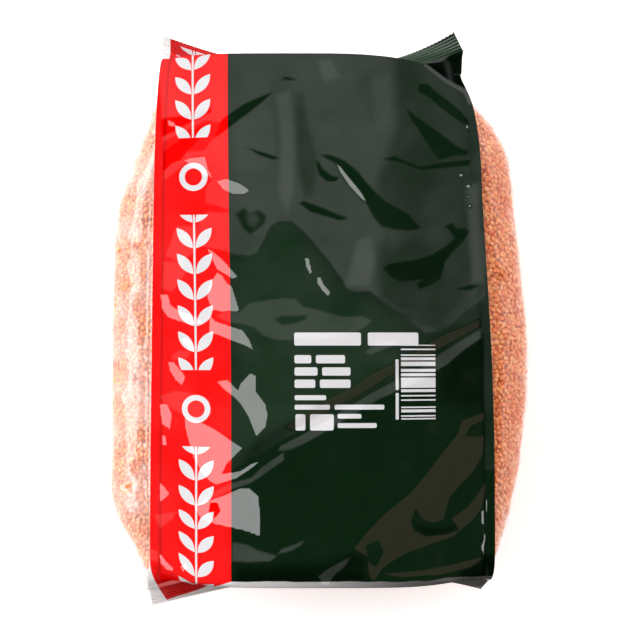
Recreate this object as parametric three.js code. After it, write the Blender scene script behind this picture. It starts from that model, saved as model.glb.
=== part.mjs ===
// A five kilogram bag of split red lentils, lying on its back with the printed front up.
// The bag is a side-gusset film bag: a front and a back panel joined by two gussets, with a
// narrow heat-sealed fin along each long edge and a crimped seal across each end.
// Millimetres, +X to the bag's right, +Y to its top seal, +Z up from the surface it lies on.
import * as THREE from "three";
import { ParametricGeometry } from "three/addons/geometries/ParametricGeometry.js";
import { mergeVertices } from "three/addons/utils/BufferGeometryUtils.js";

// Driving dimensions
const THICKNESS = 86;
const TOP_END = 175.5;
const BOTTOM_END = 177.5;
const EDGE_HEIGHT = 69;
const SEAL_HEIGHT = 38;
const TOP_EAR_HEIGHT = 47;
const BOTTOM_EAR_HEIGHT = 44;
const SEAL_THICKNESS = 1.2;
const FIN_WIDTH = 6.6;
const FIN_THICKNESS = 0.8;
const LEAST_BULGE = 1.5;

// The lists below have one value at each of thirteen places along the bag, from the inner line
// of the top seal over the body to the inner line of the bottom seal.
// Front panel on the middle line, as [y, z]: folded over at both ends and flat between.
const FRONT_MIDDLE = [
  [TOP_END - 12.5, SEAL_HEIGHT],
  [TOP_END, 58],
  [TOP_END - 11, 77],
  [140, THICKNESS - 2.5],
  [112, THICKNESS - 0.5],
  [75, THICKNESS],
  [25, THICKNESS],
  [-25, THICKNESS],
  [-80, THICKNESS],
  [-125, THICKNESS - 1],
  [-BOTTOM_END + 16, 78],
  [-BOTTOM_END, 57],
  [-BOTTOM_END + 13, SEAL_HEIGHT - 1.5],
];

// Front panel along its two long edges. The top right corner is folded down into a pocket.
const FRONT_EDGE = {
  left: [
    [178, TOP_EAR_HEIGHT],
    [171.5, 57],
    [157, 63],
    [139, EDGE_HEIGHT - 4.5],
    [110, EDGE_HEIGHT - 2],
    [74, EDGE_HEIGHT - 0.5],
    [25, EDGE_HEIGHT],
    [-25, EDGE_HEIGHT],
    [-78, EDGE_HEIGHT],
    [-121, EDGE_HEIGHT - 2],
    [-149, 61],
    [-167, 52],
    [-179, BOTTOM_EAR_HEIGHT],
  ],
  right: [
    [178, TOP_EAR_HEIGHT],
    [167, 41],
    [154, 48],
    [138, EDGE_HEIGHT - 6.5],
    [110, EDGE_HEIGHT - 2],
    [74, EDGE_HEIGHT - 0.5],
    [25, EDGE_HEIGHT],
    [-25, EDGE_HEIGHT],
    [-78, EDGE_HEIGHT],
    [-119, EDGE_HEIGHT - 2],
    [-144, 61],
    [-158, 52],
    [-168.5, BOTTOM_EAR_HEIGHT],
  ],
};

// Back panel on the middle line between the seals, as [y, z]. It lies flat on the surface.
const BACK_MIDDLE = [
  [TOP_END - 12.5 - SEAL_THICKNESS, SEAL_HEIGHT],
  [159, 26],
  [154, 11],
  [139, 1.5],
  [112, 0],
  [75, 0],
  [25, 0],
  [-25, 0],
  [-80, 0],
  [-124, 1],
  [-150, 9],
  [-160, 24],
  [-BOTTOM_END + 13 + SEAL_THICKNESS, SEAL_HEIGHT - 1.5],
];

// Back panel's long edges: their heights below the front panel's places.
const BACK_EDGE_HEIGHTS = [
  TOP_EAR_HEIGHT - SEAL_THICKNESS,
  35,
  26,
  17,
  11,
  8,
  7,
  7,
  8,
  11,
  21,
  33,
  BOTTOM_EAR_HEIGHT - SEAL_THICKNESS,
];

// Cut edges of the end seals, as [y, z]: low in the middle, where the strip is folded down.
const TOP_CUT = {
  middle: [167, 27],
  left: [187.5, TOP_EAR_HEIGHT],
  right: [189.5, TOP_EAR_HEIGHT],
  inward: -1,
};
const BOTTOM_CUT = {
  middle: [-168, 26],
  left: [-189, BOTTOM_EAR_HEIGHT - 2],
  right: [-178.5, BOTTOM_EAR_HEIGHT - 4],
  inward: 1,
};

// The side lists also hold a value for the cut edge before the first place and after the last.
// Outer edges of the panels in x.
const EDGE_X = {
  left: [
    -104, -105, -105.6, -106.4, -107.2, -108.2, -109, -109.6, -110.2, -110.9, -111.3, -111.5, -111.7,
    -111.4, -110.9,
  ],
  right: [
    88.5, 93.5, 95, 95.6, 100.5, 104, 106.6, 109.6, 112.4, 114.1, 114.5, 114.8, 113.7, 111, 106.3,
  ],
};

// How far each gusset stands out past the panel's edge. Less than nothing is a tuck.
const BULGE = {
  left: [0, 0, -8, -15, 1.5, 10.7, 23.3, 27.2, 27.8, 27.1, 26, 12.5, 5, 0, 0],
  right: [0, 0, -8, -15, 1, 17, 20.6, 23.4, 25.3, 18.9, 12.7, 6, -6, 0, 0],
};

// How square the front panel is across: 1 is a plain roof, 5 is flat with a sharp shoulder.
const SQUARENESS = {
  left: [1.7, 2, 5, 5, 4, 3.2, 2.7, 2.6, 2.6, 2.6, 3, 4.5, 5, 1.6, 1.2],
  right: [2.5, 2.5, 3, 3.5, 4, 3.2, 2.7, 2.6, 2.6, 2.6, 3, 4.5, 4.5, 2.5, 2.5],
};
const BACK_SQUARENESS = 3.5;
const BACK_FLATNESS = 1.35;
const GUSSET_ROUNDNESS = 0.55;

// The stretch beside a seal, as a share of the body, over which the fins and gussets open.
const OPENING = { from: 0.02, to: 0.16 };

// Mesh fineness
const PANEL_STEPS = 18;
const GUSSET_STEPS = 12;
const SEAL_STEPS = 2;
const BODY_STEPS = 60;
const LENGTH_STEPS = BODY_STEPS + 2 * SEAL_STEPS + 2;
const SEAL_SHARE = SEAL_STEPS / LENGTH_STEPS;
const EDGE_SHARE = 1 / LENGTH_STEPS;

// One round of the bag: half a gusset, the front panel, a gusset, the back panel, half a gusset.
const HALF_ROUND = PANEL_STEPS + GUSSET_STEPS + 4;

// A smooth curve through numbers or points at even steps, read at a place from 0 to 1.
function along(list, place) {
  const at = THREE.MathUtils.clamp(place, 0, 1) * (list.length - 1);
  const first = Math.min(Math.floor(at), list.length - 2);
  const pick = (i) => list[THREE.MathUtils.clamp(i, 0, list.length - 1)];
  const smooth = (a, b, c, d, t) =>
    b + 0.5 * t * (c - a + t * (2 * a - 5 * b + 4 * c - d + t * (3 * (b - c) + d - a)));
  const knots = [pick(first - 1), pick(first), pick(first + 1), pick(first + 2)];
  if (typeof list[0] === "number") return smooth(...knots, at - first);
  return list[0].map((_, axis) => smooth(...knots.map((knot) => knot[axis]), at - first));
}

function between(a, b, share) {
  return a.map((value, axis) => value + (b[axis] - value) * share);
}

// Turns v, from 0 to 1, into a place on the body or on one of the two seal strips.
function stationAt(v) {
  const inner = THREE.MathUtils.clamp(v, EDGE_SHARE, 1 - EDGE_SHARE);
  const from = EDGE_SHARE + SEAL_SHARE;
  const body = THREE.MathUtils.clamp((inner - from) / (1 - 2 * from), 0, 1);
  const before = Math.max(0, from - inner) / SEAL_SHARE;
  const after = Math.max(0, inner - (1 - from)) / SEAL_SHARE;
  const cut = after > 0 ? BOTTOM_CUT : TOP_CUT;
  return { body, strip: Math.max(before, after), cut };
}

// A value given at the thirteen places and at both cut edges.
function sideValue(list, { body, strip, cut }) {
  const outer = cut === BOTTOM_CUT ? list.at(-1) : list[0];
  return THREE.MathUtils.lerp(along(list.slice(1, -1), body), outer, strip);
}

// From 0 at a seal to 1 where the gusset is fully open.
function openShare({ body, strip }) {
  if (strip) return 0;
  return THREE.MathUtils.smoothstep(Math.min(body, 1 - body), OPENING.from, OPENING.to);
}

// The front panel's middle line and long edge at a station, as [y, z].
function frontLines(side, { body, strip, cut }) {
  const middle = along(FRONT_MIDDLE, body);
  const edge = along(FRONT_EDGE[side], body);
  if (!strip) return { middle, edge };
  return { middle: between(middle, cut.middle, strip), edge: between(edge, cut[side], strip) };
}

// The back panel's lines. On a seal strip they lie just inside the front panel's.
function backLines(side, { body, strip, cut }) {
  const middle = along(BACK_MIDDLE, body).map((value, axis) => (axis ? Math.max(0, value) : value));
  const [edgeY] = along(FRONT_EDGE[side], body);
  const edge = [edgeY, along(BACK_EDGE_HEIGHTS, body)];
  if (!strip) return { middle, edge };
  const cutMiddle = [cut.middle[0] + cut.inward * SEAL_THICKNESS, cut.middle[1]];
  const cutEdge = [cut[side][0], cut[side][1] - SEAL_THICKNESS];
  return { middle: between(middle, cutMiddle, strip), edge: between(edge, cutEdge, strip) };
}

// How far a point of the front panel has left the long edge for the middle line, from 0 to 1.
function frontCrown(side, across, station) {
  return 1 - across ** sideValue(SQUARENESS[side], station);
}

// The same for the back panel, which is flat on the body and follows the front at the seals.
function backCrown(side, across, station) {
  const flat = Math.min(1, BACK_FLATNESS * (1 - across ** BACK_SQUARENESS));
  return THREE.MathUtils.lerp(frontCrown(side, across, station), flat, openShare(station));
}

// A point of a panel. across runs from 0 on the middle line to 1 at the long edge.
function panelPoint(side, over, across, station) {
  const lines = (over ? frontLines : backLines)(side, station);
  const crown = (over ? frontCrown : backCrown)(side, across, station);
  const [y, z] = between(lines.edge, lines.middle, crown);
  const left = sideValue(EDGE_X.left, station);
  const right = sideValue(EDGE_X.right, station);
  const signed = side === "left" ? -across : across;
  return [THREE.MathUtils.lerp(left, right, (signed + 1) / 2), y, z];
}

// A point of a gusset. down runs from 0 at the front panel to 1 at the back panel.
function gussetPoint(side, down, station) {
  const outward = side === "left" ? -1 : 1;
  const front = frontLines(side, station).edge;
  const back = backLines(side, station).edge;
  const open = openShare(station);
  const fin = FIN_WIDTH * open;
  const rootX = sideValue(EDGE_X[side], station) - outward * (fin - (1 - open) * 0.4);
  const under = Math.min(FIN_THICKNESS, (front[1] - back[1]) / 4);
  const bulge = sideValue(BULGE[side], station) + fin + LEAST_BULGE * (1 - open);
  const round = (1 - (2 * down - 1) ** 2) ** GUSSET_ROUNDNESS;
  const folded = 1 - Math.abs(2 * down - 1);
  const out = bulge * (bulge > 0 ? round : folded);
  const upper = [rootX, front[0], front[1] - under];
  const lower = [rootX, back[0], back[1] + under];
  const [x, y, z] = between(upper, lower, down);
  return [x + outward * out, y, z];
}

// The point at a step of the round, from 0 in the middle of the left gusset over the front.
function roundPoint(step, station) {
  const over = step <= HALF_ROUND;
  const half = over ? step : 2 * HALF_ROUND - step;
  const side = half < HALF_ROUND / 2 ? "left" : "right";
  const inward = side === "left" ? half : HALF_ROUND - half;
  const finTip = GUSSET_STEPS / 2 + 1;
  if (inward < finTip) {
    return gussetPoint(side, 0.5 + ((over ? -1 : 1) * inward) / GUSSET_STEPS, station);
  }
  if (inward === finTip) return panelPoint(side, over, 1, station);
  const width = sideValue(EDGE_X.right, station) - sideValue(EDGE_X.left, station);
  const finRoot = 1 - (2 * FIN_WIDTH) / width;
  const share = (inward - finTip - 1) / (PANEL_STEPS / 2);
  return panelPoint(side, over, finRoot * (1 - share), station);
}

// The bag's skin. The cut edge of each seal is zipped shut on the line between its two faces.
function skinPoint(u, v, target) {
  const round = 2 * HALF_ROUND;
  const step = Math.round((1 - u) * round) % round;
  const station = stationAt(v);
  const point = roundPoint(step, station);
  const closed = v < EDGE_SHARE / 2 || v > 1 - EDGE_SHARE / 2;
  const across = roundPoint((round - step) % round, station);
  target.set(...(closed ? between(point, across, 0.5) : point));
}

function lentilBag() {
  const skin = new ParametricGeometry(skinPoint, 2 * HALF_ROUND, LENGTH_STEPS);
  skin.deleteAttribute("normal");
  skin.deleteAttribute("uv");
  const closed = mergeVertices(skin, 1e-3);
  closed.computeVertexNormals();
  const film = new THREE.MeshStandardMaterial({ color: 0x12301c, roughness: 0.25, metalness: 0 });
  const bag = new THREE.Mesh(closed, film);
  bag.name = "lentil_bag";
  return bag;
}

const group = new THREE.Group();
group.add(lentilBag());

export default group;
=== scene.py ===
import math

import bpy
import numpy as np
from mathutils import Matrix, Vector


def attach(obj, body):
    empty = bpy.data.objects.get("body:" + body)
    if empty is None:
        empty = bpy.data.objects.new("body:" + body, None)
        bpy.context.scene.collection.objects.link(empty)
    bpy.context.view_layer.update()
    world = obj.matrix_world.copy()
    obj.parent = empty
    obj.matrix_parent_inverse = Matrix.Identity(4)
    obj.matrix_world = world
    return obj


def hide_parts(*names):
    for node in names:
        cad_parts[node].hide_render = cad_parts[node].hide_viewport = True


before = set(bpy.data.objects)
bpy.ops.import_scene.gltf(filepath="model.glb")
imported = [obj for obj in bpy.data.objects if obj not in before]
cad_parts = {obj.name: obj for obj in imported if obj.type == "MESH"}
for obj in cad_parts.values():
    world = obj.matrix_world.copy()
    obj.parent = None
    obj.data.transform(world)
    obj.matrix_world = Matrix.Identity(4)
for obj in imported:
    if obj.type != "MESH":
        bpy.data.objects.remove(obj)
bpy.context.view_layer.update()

MM = 0.001
BAG = "lentil_bag"
BODY = "root"

# Driving dimensions of the loft. HALF_WIDTH is about half of the printed front's width.
HALF_WIDTH = 111.0
THICKNESS = 86.0
TOP_END = 173.5
BOTTOM_END = 174.0
EDGE_HEIGHT = 73.0
SEAL_HEIGHT = 38.0
TOP_EAR_HEIGHT = 47.0
BOTTOM_EAR_HEIGHT = 44.0
SEAL_THICKNESS = 1.2
FIN_WIDTH = 6.6
FILM_THICKNESS = 0.2

# Front and back panels on the middle line and along the edges, as [y, z], at thirteen places
# from the top seal's inner line to the bottom seal's.
FRONT_MIDDLE = [
    [TOP_END - 12.5, SEAL_HEIGHT],
    [TOP_END, 58],
    [TOP_END - 2.6, 73.5],
    [143, THICKNESS - 6.5],
    [112, THICKNESS - 2.2],
    [75, THICKNESS - 0.6],
    [25, THICKNESS],
    [-25, THICKNESS],
    [-80, THICKNESS],
    [-125, THICKNESS - 1.5],
    [-BOTTOM_END + 3, 75],
    [-BOTTOM_END, 57],
    [-BOTTOM_END + 13, SEAL_HEIGHT - 1.5],
]
FRONT_EDGE = {
    "left": [
        [178, TOP_EAR_HEIGHT],
        [173, 58],
        [165, 66],
        [141, EDGE_HEIGHT - 4.5],
        [110, EDGE_HEIGHT - 2],
        [74, EDGE_HEIGHT - 0.5],
        [25, EDGE_HEIGHT],
        [-25, EDGE_HEIGHT],
        [-78, EDGE_HEIGHT],
        [-121, EDGE_HEIGHT - 2],
        [-152, 65],
        [-169, 56],
        [-179, BOTTOM_EAR_HEIGHT],
    ],
    "right": [
        [178, TOP_EAR_HEIGHT],
        [163, 43],
        [156, 55],
        [138, EDGE_HEIGHT - 6.5],
        [110, EDGE_HEIGHT - 2],
        [74, EDGE_HEIGHT - 0.5],
        [25, EDGE_HEIGHT],
        [-25, EDGE_HEIGHT],
        [-78, EDGE_HEIGHT],
        [-119, EDGE_HEIGHT - 2],
        [-152, 65],
        [-169, 55],
        [-173, BOTTOM_EAR_HEIGHT],
    ],
}
BACK_MIDDLE = [
    [TOP_END - 12.5 - SEAL_THICKNESS, SEAL_HEIGHT],
    [159, 26],
    [154, 11],
    [139, 1.5],
    [112, 0],
    [75, 0],
    [25, 0],
    [-25, 0],
    [-80, 0],
    [-124, 1],
    [-150, 9],
    [-160, 24],
    [-BOTTOM_END + 13 + SEAL_THICKNESS, SEAL_HEIGHT - 1.5],
]
BACK_EDGE_HEIGHTS = [
    TOP_EAR_HEIGHT - SEAL_THICKNESS, 35, 26, 17, 11, 8, 7, 7, 8, 11, 21, 33,
    BOTTOM_EAR_HEIGHT - SEAL_THICKNESS,
]

# Cut edges of the end seals, as [y, z], on the middle line and at the two ears
TOP_CUT = {"middle": [167, 27], "left": [187.5, TOP_EAR_HEIGHT], "right": [189.5, TOP_EAR_HEIGHT]}
BOTTOM_CUT = {
    "middle": [-168, 26],
    "left": [-189, BOTTOM_EAR_HEIGHT - 2],
    "right": [-178.5, BOTTOM_EAR_HEIGHT - 4],
}

# Side lists, with a value for the cut edges before the first place and after the last
EDGE_X = {
    "left": [
        -104, -104.2, -102.6, -104.8, -107.0, -108.2, -109, -109.6, -110.2, -110.9, -111.3, -111.7,
        -113.6, -113.2, -111.2,
    ],
    "right": [
        88.5, 94.2, 93.6, 93, 100.5, 104.8, 106.6, 109.6, 112.4, 114.1, 114.5, 114.8, 113.7, 111, 106.3,
    ],
}
BULGE = {
    "left": [0, 0, -8, -15, 1.5, 12.2, 24.3, 27.6, 27.8, 27.1, 26, 9, 2, 0, 0],
    "right": [0, 0, -8, -15, 4, 18.5, 21.8, 24.4, 25.5, 20.2, 12.9, 2, -6, 0, 0],
}
SQUARENESS = {
    "left": [1.7, 2, 5, 5, 4, 3.2, 2.7, 2.6, 2.6, 2.6, 3, 4.5, 5, 1.6, 1.2],
    "right": [2.5, 2.5, 2.1, 3.6, 4.5, 4, 3, 2.6, 2.6, 2.6, 3, 4.5, 4.5, 2.5, 2.5],
}
BACK_SQUARENESS = 3.5
BACK_FLATNESS = 1.35
GUSSET_ROUNDNESS = 0.55
LEAST_BULGE = 0.4
OPENING = (0.02, 0.16)
FIN_ROOT = 0.9405
FIN_DROOP = 0.35
LAST = len(FRONT_MIDDLE) - 1

# Mesh fineness, in millimetres between points
PANEL_STEP = 0.93
LENGTH_STEP = 1.03
SEAL_STEP = 0.7
CRIMP_STEP = 0.36
CLEAR_STEP = 2.0
SEAL_DEPTH = 12.0
CRIMP_PITCH = 2.0
CRIMP_HEIGHT = 0.3
ZIGZAG = 0.7
SEAL_SHELL = 0.35
# Painted shade along the crimps on the red band, and how far the painted highlights along the crimps
# swing on the green
CRIMP_PAINTED_SHADE = 0.7
GREEN_CRIMP_PAINTED_HIGHLIGHT = 2.2


# Loft
def along(knots, place):
    """A smooth curve through knots at even steps, read at places from 0 to 1."""
    knots = np.asarray(knots, float)
    at = np.clip(place, 0, 1) * (len(knots) - 1)
    first = np.minimum(at.astype(int), len(knots) - 2)
    t = at - first
    if knots.ndim > 1:
        t = t[..., None]
    a, b, c, d = (knots[np.clip(first + shift, 0, len(knots) - 1)] for shift in (-1, 0, 1, 2))
    return b + 0.5 * t * (c - a + t * (2 * a - 5 * b + 4 * c - d + t * (3 * (b - c) + d - a)))


def at_places(knots, top, bottom, place):
    """A list's value at places from -1, the top cut edge, to 13, the bottom cut edge."""
    inner = along(knots, place / LAST)
    up = np.clip(-place, 0, 1)
    down = np.clip(place - LAST, 0, 1)
    if np.ndim(knots) > 1:
        up, down = up[..., None], down[..., None]
    return inner + up * (np.asarray(top) - inner) + down * (np.asarray(bottom) - inner)


def side_value(values, place):
    return at_places(values[1:-1], values[0], values[-1], place)


def smooth_step(low, high, value):
    t = np.clip((value - low) / (high - low), 0, 1)
    return t * t * (3 - 2 * t)


def open_share(place):
    """From 0 at a seal to 1 where the gusset is fully open."""
    near = np.minimum(place, LAST - place) / LAST
    return smooth_step(*OPENING, near)


def front_lines(side, place):
    middle = at_places(FRONT_MIDDLE, TOP_CUT["middle"], BOTTOM_CUT["middle"], place)
    edge = at_places(FRONT_EDGE[side], TOP_CUT[side], BOTTOM_CUT[side], place)
    return middle, edge


def back_lines(side, place):
    inward = {"top": [-SEAL_THICKNESS, 0], "bottom": [SEAL_THICKNESS, 0]}
    middle = at_places(
        BACK_MIDDLE,
        np.add(TOP_CUT["middle"], inward["top"]),
        np.add(BOTTOM_CUT["middle"], inward["bottom"]),
        place,
    )
    middle[..., 1] = np.maximum(middle[..., 1], 0)
    inner = [[y, z] for (y, _), z in zip(FRONT_EDGE[side], BACK_EDGE_HEIGHTS)]
    under = [0, -SEAL_THICKNESS]
    edge = at_places(inner, np.add(TOP_CUT[side], under), np.add(BOTTOM_CUT[side], under), place)
    return middle, edge


def fin_crown(side, place):
    """How far up from the edge line to the middle line the front film is at a fin's root."""
    return 1 - FIN_ROOT ** side_value(SQUARENESS[side], place)


def panel(place, across, back=False):
    """Points of a panel: place runs along the bag, across from -1 to 1 over it."""
    place, across = np.broadcast_arrays(np.asarray(place, float), np.asarray(across, float))
    reach = np.abs(across)
    points = np.empty(place.shape + (3,))
    left, right = (side_value(EDGE_X[side], place) for side in ("left", "right"))
    points[..., 0] = left + (right - left) * (across + 1) / 2
    for side, here in (("left", across < 0), ("right", across >= 0)):
        middle, edge = (back_lines if back else front_lines)(side, place)
        crown = 1 - reach ** side_value(SQUARENESS[side], place)
        if back:
            flat = np.minimum(1, BACK_FLATNESS * (1 - reach**BACK_SQUARENESS))
            crown = crown + open_share(place) * (flat - crown)
        else:
            level = fin_crown(side, place) - FIN_DROOP * (reach - FIN_ROOT)
            crown = np.where(reach > FIN_ROOT, crown + open_share(place) * (level - crown), crown)
        line = edge + (middle - edge) * crown[..., None]
        points[..., 1:][here] = line[here]
    return points


def gusset(side, place, down):
    """Points of a gusset: down runs from 0 at the front panel's fin to 1 at the back panel's."""
    place, down = np.broadcast_arrays(np.asarray(place, float), np.asarray(down, float))
    outward = -1 if side == "left" else 1
    back = back_lines(side, place)[1]
    is_open = open_share(place)
    middle, front = front_lines(side, place)
    lifted = is_open * (fin_crown(side, place) - FIN_DROOP * (1 - FIN_ROOT))
    front = front + (middle - front) * lifted[..., None]
    fin = FIN_WIDTH * is_open
    root = side_value(EDGE_X[side], place) - outward * (fin - (1 - is_open) * 0.4)
    bulge = side_value(BULGE[side], place) + fin + LEAST_BULGE * (1 - is_open)
    swell = np.clip(1 - (2 * down - 1) ** 2, 0, 1) ** GUSSET_ROUNDNESS
    folded = 1 - np.abs(2 * down - 1)
    points = np.empty(place.shape + (3,))
    points[..., 0] = root + outward * bulge * np.where(bulge > 0, swell, folded)
    points[..., 1:] = front + (back - front) * down[..., None]
    return points


def even_places(step, first=0.0, last=float(LAST)):
    """Places along the bag that lie about one step apart on the film."""
    fine = np.linspace(first, last, 1600)
    lengths = 0
    for line in (panel(fine, 0.0), panel(fine, -0.9), panel(fine, 0.9)):
        lengths = lengths + np.linalg.norm(np.diff(line, axis=0), axis=1)
    run = np.concatenate([[0], np.cumsum(lengths / 3)])
    count = int(round(run[-1] / step)) + 1
    return np.interp(np.linspace(0, run[-1], count), run, fine)


def film_length(place):
    """Length along the front film's middle line, from 0 at the bag's centre, up the bag."""
    fine = np.linspace(-1, LAST + 1, 3000)
    line = panel(fine, 0.0)
    run = np.concatenate([[0], np.cumsum(np.linalg.norm(np.diff(line, axis=0), axis=1))])
    centre = np.interp(0, -line[400:-400, 1], run[400:-400])
    return centre - np.interp(place, fine, run)


def normals(points):
    """Unit normals of a grid of points."""
    rows = np.gradient(points, axis=0)
    columns = np.gradient(points, axis=1)
    cross = np.cross(columns, rows)
    return cross / np.maximum(np.linalg.norm(cross, axis=-1, keepdims=True), 1e-9)


# Meshes
def add_object(name, data):
    made = bpy.data.objects.new(name, data)
    bpy.context.scene.collection.objects.link(made)
    return made


def mesh_object(name, points, faces, material, film=None, painted_shading=None):
    """A smooth mesh from points in millimetres, with its film coordinates and its painted shading if
    given.
    """
    mesh = bpy.data.meshes.new(name)
    mesh.from_pydata((points * MM).tolist(), [], faces.tolist())
    mesh.shade_smooth()
    if film is not None:
        layer = mesh.uv_layers.new(name="film")
        corners = np.empty(len(mesh.loops), int)
        mesh.loops.foreach_get("vertex_index", corners)
        layer.data.foreach_set("uv", (film[corners] * MM).ravel())
    if painted_shading is not None:
        mesh.attributes.new("painted_shading", "FLOAT", "POINT").data.foreach_set("value", painted_shading)
    mesh.materials.append(material)
    return add_object(name, mesh)


def grid_faces(rows, columns, flip=False):
    index = np.arange(rows * columns).reshape(rows, columns)
    corners = [index[:-1, :-1], index[:-1, 1:], index[1:, 1:], index[1:, :-1]]
    faces = np.stack(corners[::-1] if flip else corners, axis=-1)
    return faces.reshape(-1, 4)


def thicken(made, thickness=FILM_THICKNESS):
    """Gives a sheet its film thickness, inward."""
    shell = made.modifiers.new("film", "SOLIDIFY")
    shell.thickness = thickness * MM
    shell.offset = -1
    return made


# Node helpers
class Nodes:
    """Builds shader nodes with plain calls. Values may be numbers, colours or sockets."""

    def __init__(self, tree):
        self.tree = tree

    def add(self, kind, inputs=(), **settings):
        node = self.tree.nodes.new(kind)
        for name, value in settings.items():
            setattr(node, name, value)
        for key, value in dict(inputs).items():
            self.put(node.inputs[key], value)
        return node

    def put(self, socket, value):
        if isinstance(value, bpy.types.NodeSocket):
            self.tree.links.new(value, socket)
        elif isinstance(value, (tuple, list)) and len(value) == 3 and socket.type == "RGBA":
            socket.default_value = (*value, 1)
        else:
            socket.default_value = value

    def math(self, operation, *values, clamp=False):
        inputs = dict(enumerate(values))
        return self.add("ShaderNodeMath", inputs, operation=operation, use_clamp=clamp).outputs[0]

    def mix(self, factor, first, second):
        node = self.add("ShaderNodeMix", data_type="RGBA")
        for name, value in (("Factor", factor), ("A", first), ("B", second)):
            sockets = [s for s in node.inputs if s.name == name and s.enabled]
            self.put(sockets[0], value)
        return [s for s in node.outputs if s.enabled][0]

    def ramp(self, value, low, high, to_low=0.0, to_high=1.0):
        inputs = {"Value": value, "From Min": low, "From Max": high}
        inputs.update({"To Min": to_low, "To Max": to_high})
        node = self.add("ShaderNodeMapRange", inputs, interpolation_type="SMOOTHSTEP")
        return node.outputs[0]

    def noise(self, vector, scale, detail=2.0, roughness=0.5, distortion=0.0):
        inputs = {"Vector": vector, "Scale": scale, "Detail": detail, "Roughness": roughness}
        inputs["Distortion"] = distortion
        return self.add("ShaderNodeTexNoise", inputs).outputs["Fac"]

    def bump(self, height, strength, distance):
        inputs = {"Height": height, "Strength": strength, "Distance": distance}
        return self.add("ShaderNodeBump", inputs).outputs[0]


def new_material(name):
    material = bpy.data.materials.new(name)
    material.use_nodes = True
    material.node_tree.nodes.clear()
    nodes = Nodes(material.node_tree)
    output = nodes.add("ShaderNodeOutputMaterial")
    return material, nodes, output


def object_coordinates(nodes):
    return nodes.add("ShaderNodeTexCoord").outputs["Object"]


# Print. Its coordinates are millimetres on the film: u across from the bag's middle line, v up
# from its centre.
GREEN = (0.0039, 0.0148, 0.0054)
RED = (0.93, 0.001, 0.001)
WHITE = (0.72, 0.71, 0.73)
# Unprinted film: painted light to the west and painted shade to the east
BARE_FILM_PAINTED_LIGHT_AND_SHADE = [(0.80, 0.79, 0.78), (0.10, 0.10, 0.095)]
BAND_EDGE = -58.0
BOTTOM_MARGIN = -171.4
SPRIG_PERIOD = 153.0
SPRIG_STEM = -81.0
SPRIG_TOP = 112.0
SPRIG_START = 8.0
SPRIG_PAIRS = 6
STEM_EDGE = (0.75, 0.55)
RING_FROM_TOP = 18.0
RING_RADIUS = 7.5
RING_EDGE = (1.9, 1.7)
SOFT_EDGE = 0.1
LEAF_PITCH = 17.0
LEAF_LENGTH = 17.0
LEAF_WIDTH = 3.4
LEAF_TILT = math.radians(38)

# White bars in rows on the green ground, in millimetres: left, right, low, high
BARS = [
    (-16.5, 27.0, -17.0, -8.5),
    (31.5, 64.5, -17.0, -8.5),
    (-16.5, -5.5, -28.6, -23.2),
    (-2.5, 16.5, -28.6, -23.2),
    (-16.5, -1.5, -36.6, -31.2),
    (1.5, 20.0, -36.6, -31.2),
    (-16.5, -3.0, -44.6, -39.2),
    (0.0, 20.0, -44.6, -39.2),
    (-16.5, 4.0, -52.6, -49.4),
    (-16.5, 6.5, -58.8, -55.6),
    (9.5, 42.0, -58.8, -55.6),
    (-16.0, -9.5, -72.4, -61.8),
    (-6.5, 9.0, -72.4, -61.8),
    (11.5, 27.0, -64.6, -61.6),
    (11.5, 37.0, -70.8, -67.6),
    (49.4, 51.4, -65.5, -48.0),
    (49.4, 51.4, -46.0, -26.0),
]
STRIPE_BLOCK = (53.0, 75.5, -65.5, -16.5)
STRIPE_PITCH = 0.95
STRIPE_BLACK_SHARE = 0.42
BAR_ROUNDING = 1.2


def bar_group():
    """A rounded bar on the film, as a mask."""
    tree = bpy.data.node_groups.new("printed bar", "ShaderNodeTree")
    for name in ("U", "V", "Left", "Right", "Low", "High", "Round"):
        tree.interface.new_socket(name, in_out="INPUT", socket_type="NodeSocketFloat")
    tree.interface.new_socket("Mask", in_out="OUTPUT", socket_type="NodeSocketFloat")
    nodes = Nodes(tree)
    given = nodes.add("NodeGroupInput").outputs

    def beyond(value, low, high):
        middle = nodes.math("MULTIPLY", nodes.math("ADD", low, high), 0.5)
        half = nodes.math("MULTIPLY", nodes.math("SUBTRACT", high, low), 0.5)
        away = nodes.math("ABSOLUTE", nodes.math("SUBTRACT", value, middle))
        inner = nodes.math("SUBTRACT", half, given["Round"])
        return nodes.math("MAXIMUM", nodes.math("SUBTRACT", away, inner), 0.0)

    across = beyond(given["U"], given["Left"], given["Right"])
    along_film = beyond(given["V"], given["Low"], given["High"])
    squares = nodes.math("ADD", nodes.math("POWER", across, 2.0), nodes.math("POWER", along_film, 2.0))
    corner = nodes.math("SUBTRACT", nodes.math("SQRT", squares), given["Round"])
    mask = nodes.ramp(corner, SOFT_EDGE, -SOFT_EDGE)
    result = nodes.add("NodeGroupOutput")
    tree.links.new(mask, result.inputs["Mask"])
    return tree


def bar_mask(nodes, group, u, v, bar, rounding):
    node = nodes.add("ShaderNodeGroup")
    node.node_tree = group
    values = dict(zip(("Left", "Right", "Low", "High"), bar))
    for name, value in {"U": u, "V": v, "Round": rounding, **values}.items():
        nodes.put(node.inputs[name], float(value) if isinstance(value, int) else value)
    return node.outputs["Mask"]


def stripe_mask(nodes, group, u, v):
    """A made-up block of stripes of uneven width."""
    block = bar_mask(nodes, group, u, v, STRIPE_BLOCK, 0.2)
    cell = nodes.math("FLOOR", nodes.math("DIVIDE", v, STRIPE_PITCH))
    chance = nodes.add("ShaderNodeTexWhiteNoise", {"W": cell}, noise_dimensions="1D").outputs["Value"]
    white = nodes.math("GREATER_THAN", chance, STRIPE_BLACK_SHARE)
    return nodes.math("MULTIPLY", block, white)


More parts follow.
